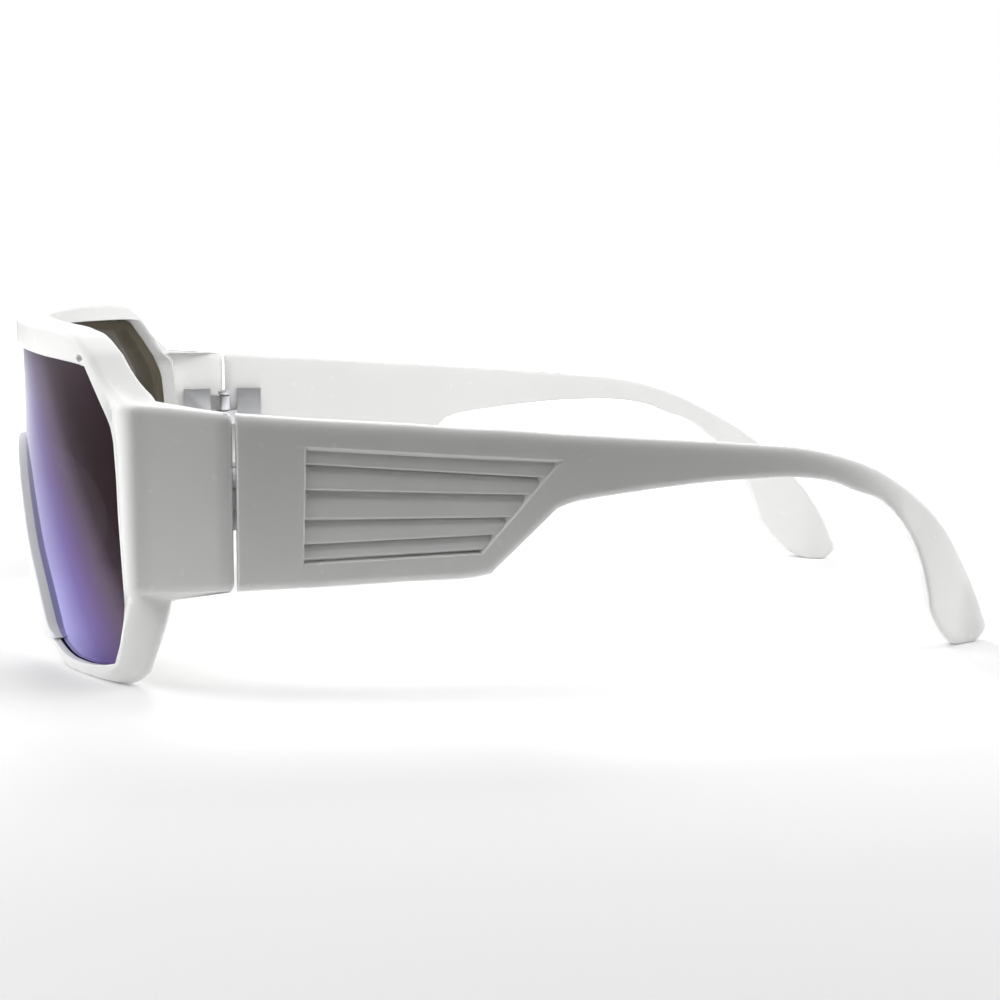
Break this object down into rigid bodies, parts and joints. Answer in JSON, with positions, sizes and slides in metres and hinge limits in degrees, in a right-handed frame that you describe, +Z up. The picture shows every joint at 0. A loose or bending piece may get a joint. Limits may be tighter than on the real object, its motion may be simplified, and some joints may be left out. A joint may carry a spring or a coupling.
{
  "type": "wraparound sunglasses",
  "caption": "Wraparound sunglasses with a curved mirrored shield lens, a moulded front and broad louvred temples that fold at the hinges.",
  "frame": {"origin": "on the surface the sunglasses stand on, under the middle of their length and width", "axes": "+Z up, +Y from the lens to the temple tips, +X to the wearer's left"},
  "size_m": [0.145, 0.1798, 0.0595],
  "materials": {
    "white_plastic": "moulded gloss white",
    "nose_plastic": "satin off-white",
    "mirrored_lens": "smoke brown with a violet mirror coating",
    "hinge_metal": "nickel plated"
  },
  "bodies": {
    "front": {"front_frame": "white_plastic", "shield_lens": "mirrored_lens", "nose_piece": "nose_plastic", "left_front_leaf": "hinge_metal", "right_front_leaf": "hinge_metal", "left_hinge_screw": "hinge_metal", "right_hinge_screw": "hinge_metal"},
    "left_arm": {"left_temple": "white_plastic", "left_temple_leaf": "hinge_metal"},
    "right_arm": {"right_temple": "white_plastic", "right_temple_leaf": "hinge_metal"}
  },
  "joints": [
    {"name": "left_fold", "type": "hinge", "parent": "front", "child": "left_arm", "pos_m": [0.0634, -0.0501, 0.0322], "axis": [-0.0698, 0, 0.9976], "range_deg": [0, 86]},
    {"name": "right_fold", "type": "hinge", "parent": "front", "child": "right_arm", "pos_m": [-0.0634, -0.0501, 0.0322], "axis": [-0.0698, 0, -0.9976], "range_deg": [0, 66]}
  ]
}
